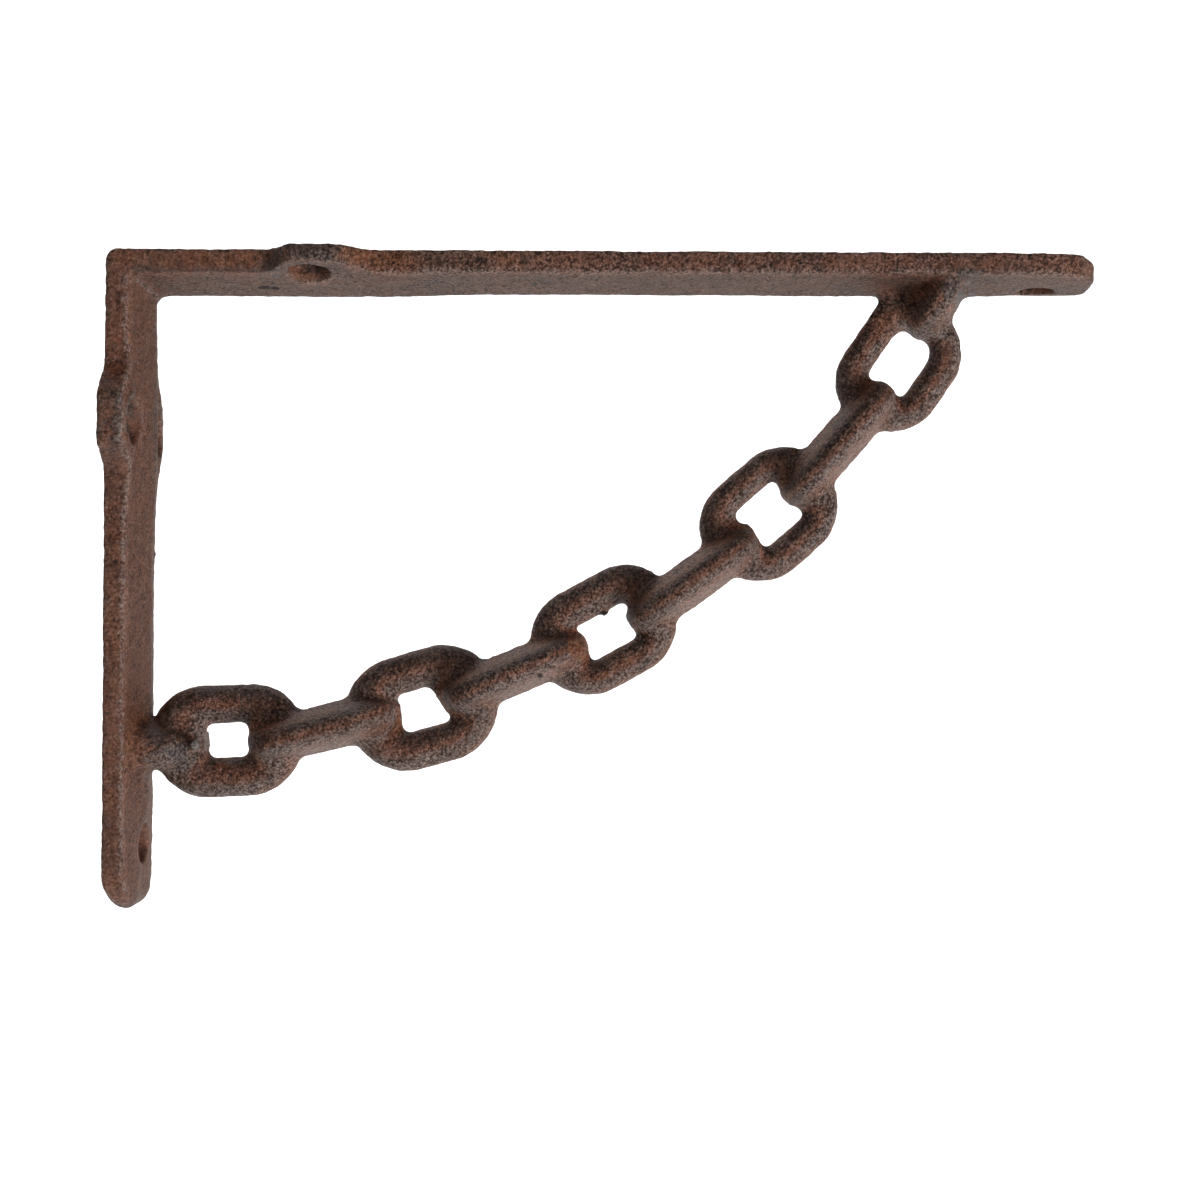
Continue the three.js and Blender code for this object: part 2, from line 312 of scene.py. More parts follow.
# Reach over which the two hollow marks are taken, and the depth that counts as one.
NEAR_REACH, NEAR_DEPTH = 0.55 * MM, 0.1 * MM
FAR_REACH, FAR_DEPTH = 1.7 * MM, 0.5 * MM

# The way that the upper shoulders of the chain face: they get painted shade, and the sides that
# face the other way get the painted sheen.
LEAN = Vector((-0.6, 0.0, 0.8))

# Where an arm ends and the chain begins, as far as the finish is concerned.
CHAIN_START = (6 * MM, 9 * MM)

# The painted highlight along the corner where the inner faces meet: its two ends and its half
# width.
MITRE = (3.8 * MM, 8.5 * MM)
MITRE_WIDTH = 0.45 * MM

# How far from the outer face the inner edge of an arm begins to show its burr.
INNER_EDGE = (1.5 * MM, 2.5 * MM)

# Where the finer sand ends along the shelf arm, and up to where it is all fine.
FINE_SAND_END = (38 * MM, 30 * MM)

# How far fresh rust reaches round the flash, along the casting and away from the parting plane.
FLASH_REACH = (5.2 * MM, 3.2 * MM)
FLASH_DEPTH = (3.6 * MM, 2.2 * MM)

# Lamps: name, place and what it faces, in metres, then size in metres and power in watts. The
# first two face the middle of the bracket.
LAMPS = (
    ("key", (1.25, -0.9, -0.68), None, 0.5, 16.5),
    ("above", (-0.2, 0.7, 0.95), None, 0.8, 5),
    ("backdrop_left", (-0.9, 0.5, -0.2), (-0.6, 3.0, 0), 1.0, 46),
    ("backdrop_right", (1.1, 0.5, -0.2), (0.8, 3.0, 0), 1.0, 46),
)


def settings():
    return bpy.context.scene.bracket


class BracketSettings(bpy.types.PropertyGroup):
    """Everything that a user of the bracket can change"""

    arms: PointerProperty(type=ArmSizes)
    chain: PointerProperty(type=ChainSizes)
    casting: PointerProperty(type=CastingSizes)
    finish: PointerProperty(type=FinishColours)
    stage: PointerProperty(type=StageSizes)


def ease(value, start, end):
    """Rises smoothly from 0 at the start to 1 at the end, whichever is the larger."""
    part = min(max((value - start) / (end - start), 0.0), 1.0)
    return part * part * (3 - 2 * part)


def bell(value, middle, width):
    return math.exp(-((value - middle) / width) ** 2)


def add_object(name, shape):
    """Turns a bmesh into an object at the origin and frees the bmesh."""
    mesh = bpy.data.meshes.new(name)
    shape.to_mesh(mesh)
    shape.free()
    piece = bpy.data.objects.new(name, mesh)
    bpy.context.scene.collection.objects.link(piece)
    return piece


def apply_modifier(piece, kind, **values):
    """Replaces a piece's mesh by what a modifier makes of it."""
    modifier = piece.modifiers.new(kind.lower(), kind)
    for name, value in values.items():
        setattr(modifier, name, value)
    bpy.context.view_layer.update()
    graph = bpy.context.evaluated_depsgraph_get()
    mesh = bpy.data.meshes.new_from_object(piece.evaluated_get(graph))
    piece.modifiers.clear()
    piece.data = mesh


def remove_object(piece):
    bpy.data.objects.remove(piece, do_unlink=True)


def everything(shape):
    return shape.verts[:] + shape.edges[:] + shape.faces[:]


def cut_off(shape, point, normal):
    """Cuts away what lies past a plane and closes the cut."""
    bmesh.ops.bisect_plane(
        shape, geom=everything(shape), dist=1e-7, plane_co=point, plane_no=normal,
        clear_outer=True,
    )
    rim = [edge for edge in shape.edges if edge.is_boundary]
    bmesh.ops.holes_fill(shape, edges=rim, sides=0)


def raise_faces(shape, faces, move):
    """Makes a solid of flat faces by moving a copy of them."""
    raised = bmesh.ops.extrude_face_region(shape, geom=faces, use_keep_orig=True)["geom"]
    verts = [item for item in raised if isinstance(item, bmesh.types.BMVert)]
    bmesh.ops.translate(shape, verts=verts, vec=move)


def spin_round(shape, profile, axis, steps):
    """Spins a profile once round an axis through the origin."""
    bmesh.ops.spin(
        shape, geom=profile, cent=(0, 0, 0), axis=axis, dvec=(0, 0, 0),
        angle=math.radians(360), steps=steps, use_merge=True, use_duplicate=False,
    )


def add_back_half(shape):
    """Mirrors a half that is open at the parting plane, and turns every face outwards."""
    bmesh.ops.mirror(shape, geom=everything(shape), axis="Y", merge_dist=1e-6)
    bmesh.ops.recalc_face_normals(shape, faces=shape.faces)


def round_edges(shape, edges, amount):
    bmesh.ops.bevel(
        shape, geom=edges, offset=amount, segments=3, profile=0.5, affect="EDGES",
        clamp_overlap=True, material=-1,
    )


def sharp_edges(shape, limit=math.radians(35)):
    return [e for e in shape.edges if len(e.link_faces) == 2 and e.calc_face_angle() > limit]


# Arms


def flank(start, end, low, high, steps=6):
    """Points of a smooth rise or fall from one width to another."""
    parts = [step / steps for step in range(steps + 1)]
    return [(start + (end - start) * part, low + (high - low) * ease(part, 0, 1))
            for part in parts]


def arm_side(run, lug, before, after):
    """One long side of an arm's flat outline, from the corner to the middle of the tip."""
    sizes = settings().arms
    half = sizes.strip_width / 2
    reach = sizes.ear_hole_offset + sizes.hole / 2 + sizes.ear_wall
    top = lug - sizes.ear_top / 2
    points = [(0, half)]
    points += flank(top - before, top, half, reach)
    points += flank(top + sizes.ear_top, top + sizes.ear_top + after, reach, half)
    centre = run - sizes.tip_round
    steps = 8
    for step in range(steps + 1):
        turn = math.radians(90) * (1 - step / steps)
        points.append((centre + sizes.tip_round * math.cos(turn),
                       half - sizes.tip_round + sizes.tip_round * math.sin(turn)))
    return points


def cast_arm(name, run, ears, lug, before, after, tip_hole, thin_foot, ear_flare):
    """An arm along X with its outer face at z = 0 and its metal above."""
    sizes = settings().arms
    side = arm_side(run, lug, before, after)
    shape = bmesh.new()
    rim = [shape.verts.new((x, y, 0)) for x, y in side]
    rim += [shape.verts.new((x, -y, 0)) for x, y in reversed(side)]
    raise_faces(shape, [shape.faces.new(rim)], (0, 0, sizes.thickness))
    for way in (1, -1):
        cut_off(shape, (0, 0, sizes.thickness), Vector((0, way * sizes.draft, 1)))
    if thin_foot:
        slope = Vector((sizes.foot_thinning, 0, sizes.foot_thinning_run))
        cut_off(shape, (run - sizes.foot_thinning_run, 0, sizes.thickness), slope)
    bmesh.ops.recalc_face_normals(shape, faces=shape.faces)
    corner = [e for e in sharp_edges(shape)
              if max(v.co.x for v in e.verts) < 1e-6 and max(v.co.z for v in e.verts) < 1e-6]
    round_edges(shape, corner, sizes.corner_round)
    arm = add_object(name, shape)
    drill(arm, ears, run - tip_hole, ear_flare)
    return arm


def drill(arm, ears, tip, ear_flare):
    """Cuts an arm's pair of ear holes and its tip hole, each a little wider at its inner end."""
    sizes = settings().arms
    offset = sizes.ear_hole_offset
    deep = 2 * sizes.thickness
    bits = bmesh.new()
    for x, y, flare in ((ears, offset, ear_flare), (ears, -offset, ear_flare),
                        (tip, 0, sizes.hole_flare)):
        bmesh.ops.create_cone(
            bits, cap_ends=True, segments=36, radius1=sizes.hole / 2 - deep * flare,
            radius2=sizes.hole / 2 + deep * flare, depth=2 * deep,
            matrix=Matrix.Translation((x, y, 0)),
        )
    drill_bits = add_object("drill_bits", bits)
    apply_modifier(arm, "BOOLEAN", operation="DIFFERENCE", solver="EXACT", object=drill_bits)
    remove_object(drill_bits)


def corner_hollow():
    """The hollow round in the inner corner, falling away from the parting plane like the arms."""
    sizes = settings().arms
    overlap = 1.5 * MM
    steps = 8
    inside = sizes.thickness - overlap
    outside = sizes.thickness + sizes.inner_round
    points = [(inside, inside), (inside, outside), (sizes.thickness, outside)]
    for step in range(1, steps):
        turn = math.radians(180 - 90 * step / steps)
        points.append((outside + sizes.inner_round * math.cos(turn),
                       outside - sizes.inner_round * math.sin(turn)))
    points += [(outside, sizes.thickness), (outside, inside)]
    shape = bmesh.new()
    profile = shape.faces.new([shape.verts.new((x, 0, HIGH.z - down)) for x, down in points])
    half = sizes.strip_width / 2 - sizes.edge_round
    fall = sizes.draft * half
    raise_faces(shape, [profile], (-fall, -half, fall))
    middle = [f for f in shape.faces if all(abs(v.co.y) < 1e-7 for v in f.verts)]
    bmesh.ops.delete(shape, geom=middle, context="FACES_ONLY")
    add_back_half(shape)
    return add_object("corner_hollow", shape)


class BRACKET_OT_arms(bpy.types.Operator):
    """Make the shelf arm and the wall arm with their ears and holes"""

    bl_idname = "bracket.arms"
    bl_label = "Arms"

    def execute(self, context):
        sizes = settings().arms
        shelf_lug = sizes.shelf_ears + sizes.ear_shift
        shelf = cast_arm("shelf_arm", PROJECTION, sizes.shelf_ears, shelf_lug, sizes.ear_steep,
                         sizes.ear_gentle, sizes.shelf_tip_hole, thin_foot=False,
                         ear_flare=sizes.hole_flare)
        wall = cast_arm("wall_arm", DROP, sizes.wall_ears, sizes.wall_ears, sizes.ear_gentle,
                        sizes.ear_steep, sizes.wall_tip_hole, thin_foot=True,
                        ear_flare=sizes.dish_flare)
        up = Matrix.Translation((0, 0, HIGH.z))
        shelf.data.transform(up @ Matrix.Rotation(math.pi, 4, "X"))
        wall.data.transform(up @ Matrix.Rotation(math.pi / 2, 4, "Y"))
        corner_hollow()
        return {"FINISHED"}


# Chain


class ChainLine:
    """The arc that the chain follows, and how many links it holds."""

    def __init__(self):
        chain = settings().chain
        thickness = settings().arms.thickness
        self.level_x = chain.level_from_wall
        self.level_z = LOW.z + chain.above_foot
        run = PROJECTION - chain.back_from_tip - chain.level_from_wall
        rise = HIGH.z - thickness - self.level_z
        self.radius = (run * run + rise * rise) / (2 * rise)
        self.start = math.asin((thickness - chain.level_from_wall) / self.radius)
        end = math.asin(run / self.radius)
        ends = chain.first_share + chain.last_share
        pitches = (end - self.start) * self.radius / chain.pitch
        self.links = 2 * max(1, round((pitches - ends) / 2 + 1)) - 1
        self.first_share = chain.first_share
        self.step = (end - self.start) / (self.links - 1 + ends)

    def form(self, index):
        """A link's own shifts and growths in metres, in the order of LINK_FORMS."""
        amount = settings().chain.unevenness * MM
        return [value * amount for value in LINK_FORMS.get(index, (0,) * 6)]

    def place(self, index, shift=0.0, sag=0.0):
        """Where a link sits, moved a distance along the line and one down."""
        along, up = self.form(index)[:2]
        turn = self.start + self.step * (self.first_share + index - 1) + shift / self.radius
        x = self.level_x + self.radius * math.sin(turn)
        z = self.level_z + self.radius * (1 - math.cos(turn)) - sag
        turned = Matrix.Rotation(-turn, 4, "Y")
        tilt = math.radians(LINK_TILTS.get(index, 0) * settings().chain.unevenness)
        moved = Matrix.Translation((along, 0, up)) @ Matrix.Rotation(-tilt, 4, "Y")
        return Matrix.Translation((x, 0, z)) @ turned @ moved


def ring_link(longer, wider, thicker, hole_up):
    """A link seen face on: a bar spun into a ring and pulled out to a long link."""
    chain = settings().chain
    bar = (chain.bar + thicker) / 2
    ring = (chain.link_width + wider) / 2 - bar
    shape = bmesh.new()
    bmesh.ops.create_circle(
        shape, cap_ends=False, segments=24, radius=bar, matrix=Matrix.Translation((ring, 0, 0))
    )
    spin_round(shape, shape.verts[:] + shape.edges[:], axis=(0, 1, 0), steps=60)
    for vert in shape.verts:
        outward = math.hypot(vert.co.x, vert.co.z) - (ring - bar)
        vert.co.z += hole_up * (1 - outward / (2 * bar))
    pull = (chain.link_length + longer - chain.link_width - wider) / 2
    for way in (1, -1):
        side = [v for v in shape.verts if way * v.co.x > 1e-6]
        bmesh.ops.translate(shape, verts=side, vec=(way * pull, 0, 0))
    for vert in shape.verts:
        vert.co.x *= 1 + chain.keystone * vert.co.z / (chain.link_width / 2)
    bmesh.ops.recalc_face_normals(shape, faces=shape.faces)
    return shape


def rounded(value, power):
    return math.copysign(abs(value) ** power, value)


def web_link(longer=0.0, thicker=0.0, blunt=0.0, low=0.0):
    """A link seen edge on: a solid web that thins from the parting plane to a rounded ridge."""
    chain = settings().chain
    half_length = (chain.web_length + longer) / 2
    half_depth = chain.web_depth / 2 - low
    half_thickness = (chain.web_thickness + thicker) / 2
    squareness = 0.62
    ridge_round = 0.8
    ridge_sharpness = 9
    shape = bmesh.new()
    bmesh.ops.create_circle(shape, cap_ends=False, segments=64, radius=1)
    for vert in shape.verts:
        along, across = vert.co.x, vert.co.y
        vert.co = (half_length * rounded(along, squareness), 0,
                   half_thickness * rounded(across, squareness))
    loop = shape.edges[:]
    long_before, thick_before, depth_before = 1.0, 1.0, 0.0
    steps = 26
    for step in range(1, steps + 1):
        turn = math.radians(90) * step / steps
        part = math.sin(turn)
        long_now = (half_length - half_depth * (1 - math.cos(turn))) / half_length
        taper = 1 - part * (1 - (chain.web_ridge + blunt) / chain.web_thickness)
        thick_now = taper * math.sqrt(1 - ridge_round * part ** ridge_sharpness)
        raised = bmesh.ops.extrude_edge_only(shape, edges=loop)["geom"]
        verts = [item for item in raised if isinstance(item, bmesh.types.BMVert)]
        loop = [item for item in raised if isinstance(item, bmesh.types.BMEdge)]
        stretch = (long_now / long_before, 1, thick_now / thick_before)
        bmesh.ops.scale(shape, vec=stretch, verts=verts)
        bmesh.ops.translate(shape, verts=verts, vec=(0, -half_depth * part - depth_before, 0))
        long_before, thick_before, depth_before = long_now, thick_now, -half_depth * part
    bmesh.ops.edgeloop_fill(shape, edges=loop)
    add_back_half(shape)
    return shape


class BRACKET_OT_ring_links(bpy.types.Operator):
    """Make the links that are seen face on"""

    bl_idname = "bracket.ring_links"
    bl_label = "Links seen face on"

    def execute(self, context):
        line = ChainLine()
        for index in range(1, line.links + 1, 2):
            link = add_object(f"ring_link_{index}", ring_link(*line.form(index)[2:]))
            link.data.transform(line.place(index))
        return {"FINISHED"}


class BRACKET_OT_web_links(bpy.types.Operator):
    """Make the links that are seen edge on, and the half links that root the chain"""

    bl_idname = "bracket.web_links"
    bl_label = "Links seen edge on"

    def execute(self, context):
        line = ChainLine()
        chain = settings().chain
        for index in range(2, line.links, 2):
            _, _, longer, _, thicker, _ = line.form(index)
            link = add_object(f"web_link_{index}", web_link(longer, thicker))
            link.data.transform(line.place(index))
        skin = 1.5 * MM
        wall_stub = web_link(blunt=chain.wall_stub_blunt, low=chain.wall_stub_low)
        wall_stub.transform(line.place(0, chain.wall_stub_shift, chain.wall_stub_sag))
        cut_off(wall_stub, (skin, 0, 0), Vector((-1, 0, 0)))
        add_object("web_link_at_wall", wall_stub)
        shelf_stub = web_link()
        shelf_stub.transform(line.place(line.links + 1, chain.shelf_stub_shift))
        cut_off(shelf_stub, (0, 0, HIGH.z - skin), Vector((0, 0, 1)))
        add_object("web_link_at_shelf", shelf_stub)
        return {"FINISHED"}


# Casting


def is_pattern_piece(piece):
    names = ("shelf_arm", "wall_arm", "corner_hollow", "ring_link_", "web_link_", "flash_")
    return piece.name.startswith(names)


def flash_plate(rng, half_length, half_height, thickness, ragged):
    """A plate of metal with an uneven edge, flat on the parting plane."""
    squareness = 0.55
    shape = bmesh.new()
    bmesh.ops.create_circle(shape, cap_ends=True, segments=26, radius=1)
    for vert in shape.verts:
        uneven = 1 + rng.uniform(-ragged, ragged)
        vert.co = (half_length * rounded(vert.co.x, squareness) * uneven,
                   half_height * rounded(vert.co.y, squareness) * uneven, -thickness / 2)
    raise_faces(shape, shape.faces[:], (0, 0, thickness))
    bmesh.ops.rotate(shape, verts=shape.verts, cent=(0, 0, 0),
                     matrix=Matrix.Rotation(math.pi / 2, 3, "X"))
    bmesh.ops.recalc_face_normals(shape, faces=shape.faces)
    return shape


class BRACKET_OT_flash(bpy.types.Operator):
    """Add the flash that fills the ends of the links seen face on"""

    bl_idname = "bracket.flash"
    bl_label = "Casting flash"

    def execute(self, context):
        rng = random.Random(settings().casting.seed)
        line = ChainLine()
        for index, along, up, half_length, half_height, thickness, tilt, ragged in FLASH:
            plate = flash_plate(rng, half_length * MM, half_height * MM, thickness * MM, ragged)
            spot = Matrix.Translation((along * MM, 0, up * MM))
            turn = Matrix.Rotation(math.radians(tilt), 4, "Y")
            plate.transform(line.place(index) @ spot @ turn)
            add_object(f"flash_{index}", plate)
        return {"FINISHED"}


def add_nodules(shape, amount, rng):
    """Beads of metal, sunk part way into the faces. A larger face is likelier to get one.

    The faces are put in order by their places, because Blender lists them in another order on
    each run, and the beads would fall elsewhere.
    """
    radii = (0.4, 0.8)
    sinks = (0.1, 0.5)
    faces = sorted(shape.faces, key=lambda f: [round(v, 6) for v in f.calc_center_median()])
    areas = [face.calc_area() for face in faces]
    spots = rng.choices(faces, weights=areas, k=amount)
    places = [(face.calc_center_median().copy(), face.normal.copy()) for face in spots]
    for centre, normal in places:
        size = rng.uniform(*radii) * MM
        at = Matrix.Translation(centre - normal * size * rng.uniform(*sinks))
        bmesh.ops.create_icosphere(shape, subdivisions=2, radius=size, matrix=at)
    for x, y, z, size in NUBS:
        at = Matrix.Translation((x * MM, y * MM, z * MM))
        bmesh.ops.create_icosphere(shape, subdivisions=3, radius=size * MM, matrix=at)


def gather(pieces):
    """Joins the meshes of the pattern pieces into one bmesh and removes the pieces."""
    shape = bmesh.new()
    for piece in pieces:
        shape.from_mesh(piece.data)
        remove_object(piece)
    return shape


def thin_out(piece, most):
    """Merges triangles where the surface is even, until no more than the given number stay."""
    share_kept = most / len(piece.data.polygons)
    if share_kept < 1:
        apply_modifier(piece, "DECIMATE", ratio=share_kept)


def smooth(shape, verts, reach, step):
    """Evens out the given points over a reach, whatever the spacing of the points."""
    rounds = max(1, round(4 * (reach / step) ** 2))
    for _ in range(rounds):
        bmesh.ops.smooth_vert(
            shape, verts=verts, factor=0.5, use_axis_x=True, use_axis_y=True, use_axis_z=True
        )


def hollow_verts(shape, depth, rings):
    """Points that lie in a hollow deeper than the given depth, with the rings round them."""
    shape.normal_update()
    found = set()
    for vert in shape.verts:
        near = [edge.other_vert(vert).co for edge in vert.link_edges]
        middle = sum(near, Vector()) / len(near)
        if (middle - vert.co).dot(vert.normal) > depth:
            found.add(vert)
    for _ in range(rings):
        found |= {edge.other_vert(vert) for vert in found for edge in vert.link_edges}
    return list(found)


def fill_hollows(shape, casting, step):
    """Lets metal fill the sharp hollows, as the rounded corners of a pattern do."""
    depth = 0.05 * step
    round_inner = round(1.5 * MM / step)
    round_outer = max(1, round(0.6 * MM / step))
    from_parting_plane = 4.5 * MM
    smooth(shape, shape.verts, casting.softening, step)
    for part in (0.8, 0.6):
        inner = [v for v in hollow_verts(shape, depth, round_inner)
                 if abs(v.co.y) < from_parting_plane]
        smooth(shape, inner, casting.inner_fillet * part, step)
    smooth(shape, hollow_verts(shape, depth, round_outer), casting.outer_fillet, step)


def face_share(depth, thickness):
    """From 0 on an arm's outer face to 1 on its inner face, and back to 0 away from the arm."""
    return min(depth / thickness, 1) * ease(depth, 4 * thickness, 1.2 * thickness)


def shelf_gain(casting, x, ridge):
    """Extra metal on the inner face of the shelf arm, or less of it towards the tip."""
    full = casting.arm_gain * ease(x, *SHELF_FULL)
    return full - casting.shelf_tip_loss * ease(x, *SHELF_THIN) * ridge


def wall_gain(casting, ears, down, y, ridge):
    """The same for the wall arm, which is fullest round its ears."""
    full = casting.arm_gain * ease(down, *WALL_FULL) * (0.6 + 0.8 * bell(down, *WALL_BULGE))
    ear = ease(abs(y), *EAR_SLOPE) * bell(down, ears, EAR_SPREAD) * (1.0 if y < 0 else BACK_EAR)
    lost = casting.foot_loss * ease(down, *WALL_THIN) * ridge
    return full - lost + casting.wall_ear_gain * ear


def tip_share(sizes, along, y, run, half, rounding):
    """How much of half an arm's thickness is left near its tip, once its edge is rounded."""
    corner = sizes.tip_round
    past = max(along - (run - corner), 0)
    off = max(abs(y) - (sizes.strip_width / 2 - corner), 0)
    reach = max(math.hypot(off, past), 1e-9)
    radius = max(rounding * (past / reach) ** 2, 1e-6)
    depth = min(max(corner - reach, 0) / radius, 1)
    return 1 - radius / half * (1 - math.sqrt(1 - (1 - depth) ** 2))


def form_arms(shape, casting):
    """The arms are fuller near the corner, thinner towards their tips and round at the ends."""
    sizes = settings().arms
    thickness = sizes.thickness
    outer = thickness * TIP_MIDDLE
    inner = thickness - outer
    middle = HIGH.z - outer
    for vert in shape.verts:
        x, y, down = vert.co.x, vert.co.y, HIGH.z - vert.co.z
        ridge = max(1 - abs(y) / (sizes.strip_width / 2), 0)
        vert.co.z -= shelf_gain(casting, x, ridge) * face_share(down, thickness)
        vert.co.x += wall_gain(casting, sizes.wall_ears, down, y, ridge) * face_share(x, thickness)
        if x > PROJECTION - sizes.tip_round and down < 2 * thickness:
            side = (outer, casting.shelf_tip_top)
            if down >= outer:
                side = (inner, casting.shelf_tip_under)
            vert.co.z = middle - (middle - vert.co.z) * tip_share(sizes, x, y, PROJECTION, *side)
        if down > DROP - sizes.tip_round and x < 2 * thickness:
            side = (outer, casting.foot_back)
            if x >= outer:
                side = (inner, casting.foot_front)
            vert.co.x = outer + (vert.co.x - outer) * tip_share(sizes, down, y, DROP, *side)
        vert.co.x -= casting.shelf_tip_short * ease(x, PROJECTION - TIP_RUN, PROJECTION)
        vert.co.z += casting.foot_short * ease(down, DROP - TIP_RUN, DROP)


def roughness_at(normal):
    """The mould's fronts and edges are the rough ones, and the drafted inner faces the smooth."""
    front = min(1.0, abs(normal.y) * 1.3)
    under = max(0.0, -normal.z) * (1 - front)
    return 0.75 + 0.75 * front - 0.25 * under


def roughen(shape, casting):
    """Moves every point in or out by the waves, lumps and grain that the sand leaves."""
    wave_size, lump_size, grain_size = 11.0, 2.1, 0.95
    start = Vector((3.1, 7.7, 1.3)) * casting.seed
    shape.normal_update()
    moves = []
    for vert in shape.verts:
        at = vert.co / MM + start
        wave = noise.noise(at / wave_size)
        lump = noise.noise(at / lump_size + start)
        grain = noise.noise(at / grain_size)
        rough = roughness_at(vert.normal)
        height = casting.wave * wave + rough * (casting.lump * lump + casting.grain * grain)
        moves.append(vert.normal * (height - 0.5 * casting.grain))
    for vert, move in zip(shape.verts, moves):
        vert.co += move


def keep_in_box(shape):
    """The casting never stands proud of the solid's own box."""
    inside = 0.03 * MM
    for vert in shape.verts:
        for axis in range(3):
            vert.co[axis] = min(max(vert.co[axis], LOW[axis] + inside), HIGH[axis] - inside)


def in_hole(place):
    """Whether a point lies on the wall of a screw hole, or just past its rim."""
    sizes = settings().arms
    down = HIGH.z - place.z
    arm = sizes.thickness + 1 * MM
    if place.x < arm:
        along, ears, tip, flare = (down, sizes.wall_ears, DROP - sizes.wall_tip_hole,
                                   sizes.dish_flare)
    elif down > arm:
        return False
    else:
        along, ears, tip, flare = (place.x, sizes.shelf_ears, PROJECTION - sizes.shelf_tip_hole,
                                   sizes.hole_flare)
    offset = sizes.ear_hole_offset
    reach = sizes.hole / 2 + flare * sizes.thickness
    return any(math.hypot(along - at, place.y - y) < reach
               for at, y in ((ears, offset), (ears, -offset), (tip, 0)))


def burr_at(place, near):
    """Where the arms' front inner edges stand proud, pale above nought and dark below it, and the
    painted highlight along the mitre of the inner corner.
    """
    sizes = settings().arms
    down = HIGH.z - place.z
    proud = ease(-near, 0.7, 1.7)
    mitre_highlight, shelf_pale, corner_dark = 1.8, 0.5, -1.0
    if abs(place.y) < sizes.strip_width / 2 - 2 * MM:
        shows = MITRE[0] < place.x < MITRE[1] and place.y < 0
        return mitre_highlight * bell(place.x, down, MITRE_WIDTH) if shows else 0.0
    if place.x < sizes.thickness and down > sizes.thickness - 2 * MM:
        return proud * ease(place.x, *INNER_EDGE)
    if down < sizes.thickness:
        dark = place.x < sizes.shelf_ears - 6 * MM
        return proud * ease(down, *INNER_EDGE) * (corner_dark if dark else shelf_pale)
    return 0.0


def fine_sand_at(place):
    """The sand was finer along the wall arm and on the shelf arm up to its ears."""
    thick = settings().arms.thickness + 2 * MM
    along_wall = ease(place.x, 1.6 * thick, thick)
    along_shelf = ease(HIGH.z - place.z, 1.6 * thick, thick) * ease(place.x, *FINE_SAND_END)
    return max(along_wall, along_shelf)


def flash_spots():
    """Where the flash that shows fresh rust lies."""
    line = ChainLine()
    for index, along, up, *_ in FLASH:
        if up < 3:
            spot = line.place(index) @ Matrix.Translation((along * MM, 0, up * MM))
            yield spot.to_translation()


def stain_at(place, flashes):
    """Fresh rust on the flash and the stains and painted shadows listed above, on the side that is
    seen.
    """
    found = 0.0
    for spot in flashes:
        reach = math.hypot(place.x - spot.x, place.z - spot.z)
        found = max(found, ease(reach, *FLASH_REACH) * ease(abs(place.y), *FLASH_DEPTH))
    if place.y < 0:
        rim, whole = 1.4, 0.6
        for x, z, wide, high, amount in STAINS_AND_SHADOWS:
            reach = math.hypot((place.x - x * MM) / wide, (place.z - z * MM) / high) / MM
            if reach < rim:
                found += amount * ease(reach, rim, whole)
    return found


def mark_surface(shape, step):
    """Stores how hollow or proud the surface is, which way it faces, where it is stained and where
    painted shadow lies.
    """
    near, far, front, under, chain, lean, hole, burr, stain, fine = [
        shape.verts.layers.float.new(name) for name in MARKS
    ]
    flashes = list(flash_spots())
    shape.normal_update()
    places = [vert.co.copy() for vert in shape.verts]
    normals = [vert.normal.copy() for vert in shape.verts]
    smooth(shape, shape.verts, NEAR_REACH, step)
    for vert, place, normal in zip(shape.verts, places, normals):
        vert[near] = (vert.co - place).dot(normal) / NEAR_DEPTH
    smooth(shape, shape.verts, FAR_REACH, step)
    shape.normal_update()
    for vert, place, normal in zip(shape.verts, places, normals):
        vert[far] = (vert.co - place).dot(normal) / FAR_DEPTH
        vert[front] = abs(vert.normal.y)
        vert[under] = max(0.0, -vert.normal.z)
        vert[lean] = vert.normal.dot(LEAN)
        vert[chain] = ease(min(place.x, HIGH.z - place.z), *CHAIN_START)
        vert[hole] = 1.0 if in_hole(place) else 0.0
        vert[burr] = burr_at(place, vert[near])
        vert[stain] = stain_at(place, flashes)
        vert[fine] = fine_sand_at(place)
    for vert, place in zip(shape.verts, places):
        vert.co = place


def finish_skin(mesh, casting, step):
    """Turns the bare skin over the pattern pieces into the rough casting, marked for its finish."""
    shape = bmesh.new()
    shape.from_mesh(mesh)
    bmesh.ops.triangulate(shape, faces=shape.faces)
    fill_hollows(shape, casting, step)
    form_arms(shape, casting)
    tips = [v for v in shape.verts if v.co.x > PROJECTION - 4 * MM or v.co.z < LOW.z + 5 * MM]
    smooth(shape, tips, casting.tip_softening, step)
    roughen(shape, casting)
    keep_in_box(shape)
    mark_surface(shape, step)
    for face in shape.faces:
        face.smooth = True
    shape.to_mesh(mesh)
    shape.free()


class BRACKET_OT_casting(bpy.types.Operator):
    """Join the arms and the chain into one rough casting with filled hollows"""

    bl_idname = "bracket.casting"
    bl_label = "Casting"

    def execute(self, context):
        casting = settings().casting
        rng = random.Random(casting.seed + 1)
        shape = gather([piece for piece in context.scene.objects if is_pattern_piece(piece)])
        add_nodules(shape, casting.nodules, rng)
        bracket = add_object("bracket_casting", shape)
        step = casting.skin_step * 1
        apply_modifier(bracket, "REMESH", mode="VOXEL", voxel_size=step)
        finish_skin(bracket.data, casting, step)
        thin_out(bracket, casting.triangles)
        bracket.data.materials.clear()
        bracket.data.materials.append(rusted_cast_iron())
        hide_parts(NODE)
        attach(bracket, "root")
        return {"FINISHED"}


# Finish


def opaque(value):
    return (*value, 1.0)


